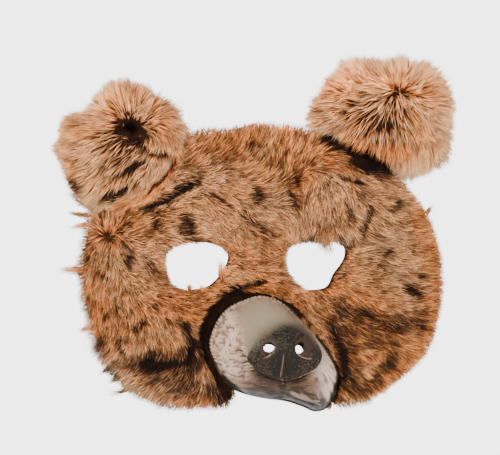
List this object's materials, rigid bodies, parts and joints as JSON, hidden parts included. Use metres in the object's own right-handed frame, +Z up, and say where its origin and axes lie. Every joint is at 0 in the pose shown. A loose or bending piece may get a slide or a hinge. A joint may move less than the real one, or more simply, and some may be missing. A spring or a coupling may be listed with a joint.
{
  "type": "plush bear half mask",
  "caption": "Furry bear half mask: a soft face panel with eye openings, a hollow moulded muzzle with nostrils and stuffed fur ears; covers brow, cheeks and nose.",
  "frame": {"origin": "on the inner side of the backing at the bridge of the wearer's nose, midway between the eye openings", "axes": "+Z up, the face looks along -Y, +X to the right as seen from the front; +Y points at the wearer"},
  "size_m": [0.2346, 0.0878, 0.2041],
  "materials": {
    "felt": "pale knitted felt, matt",
    "fur_cloth": "long-haired brown fur cloth, light tan to orange with dark brown marks",
    "vinyl": "soft vinyl, sprayed beige to dark grey, satin, wrinkled"
  },
  "bodies": {
    "root": {"face_backing": "felt", "face_fur": "fur_cloth", "muzzle": "vinyl", "ear_left": "fur_cloth", "ear_right": "fur_cloth"}
  },
  "joints": []
}
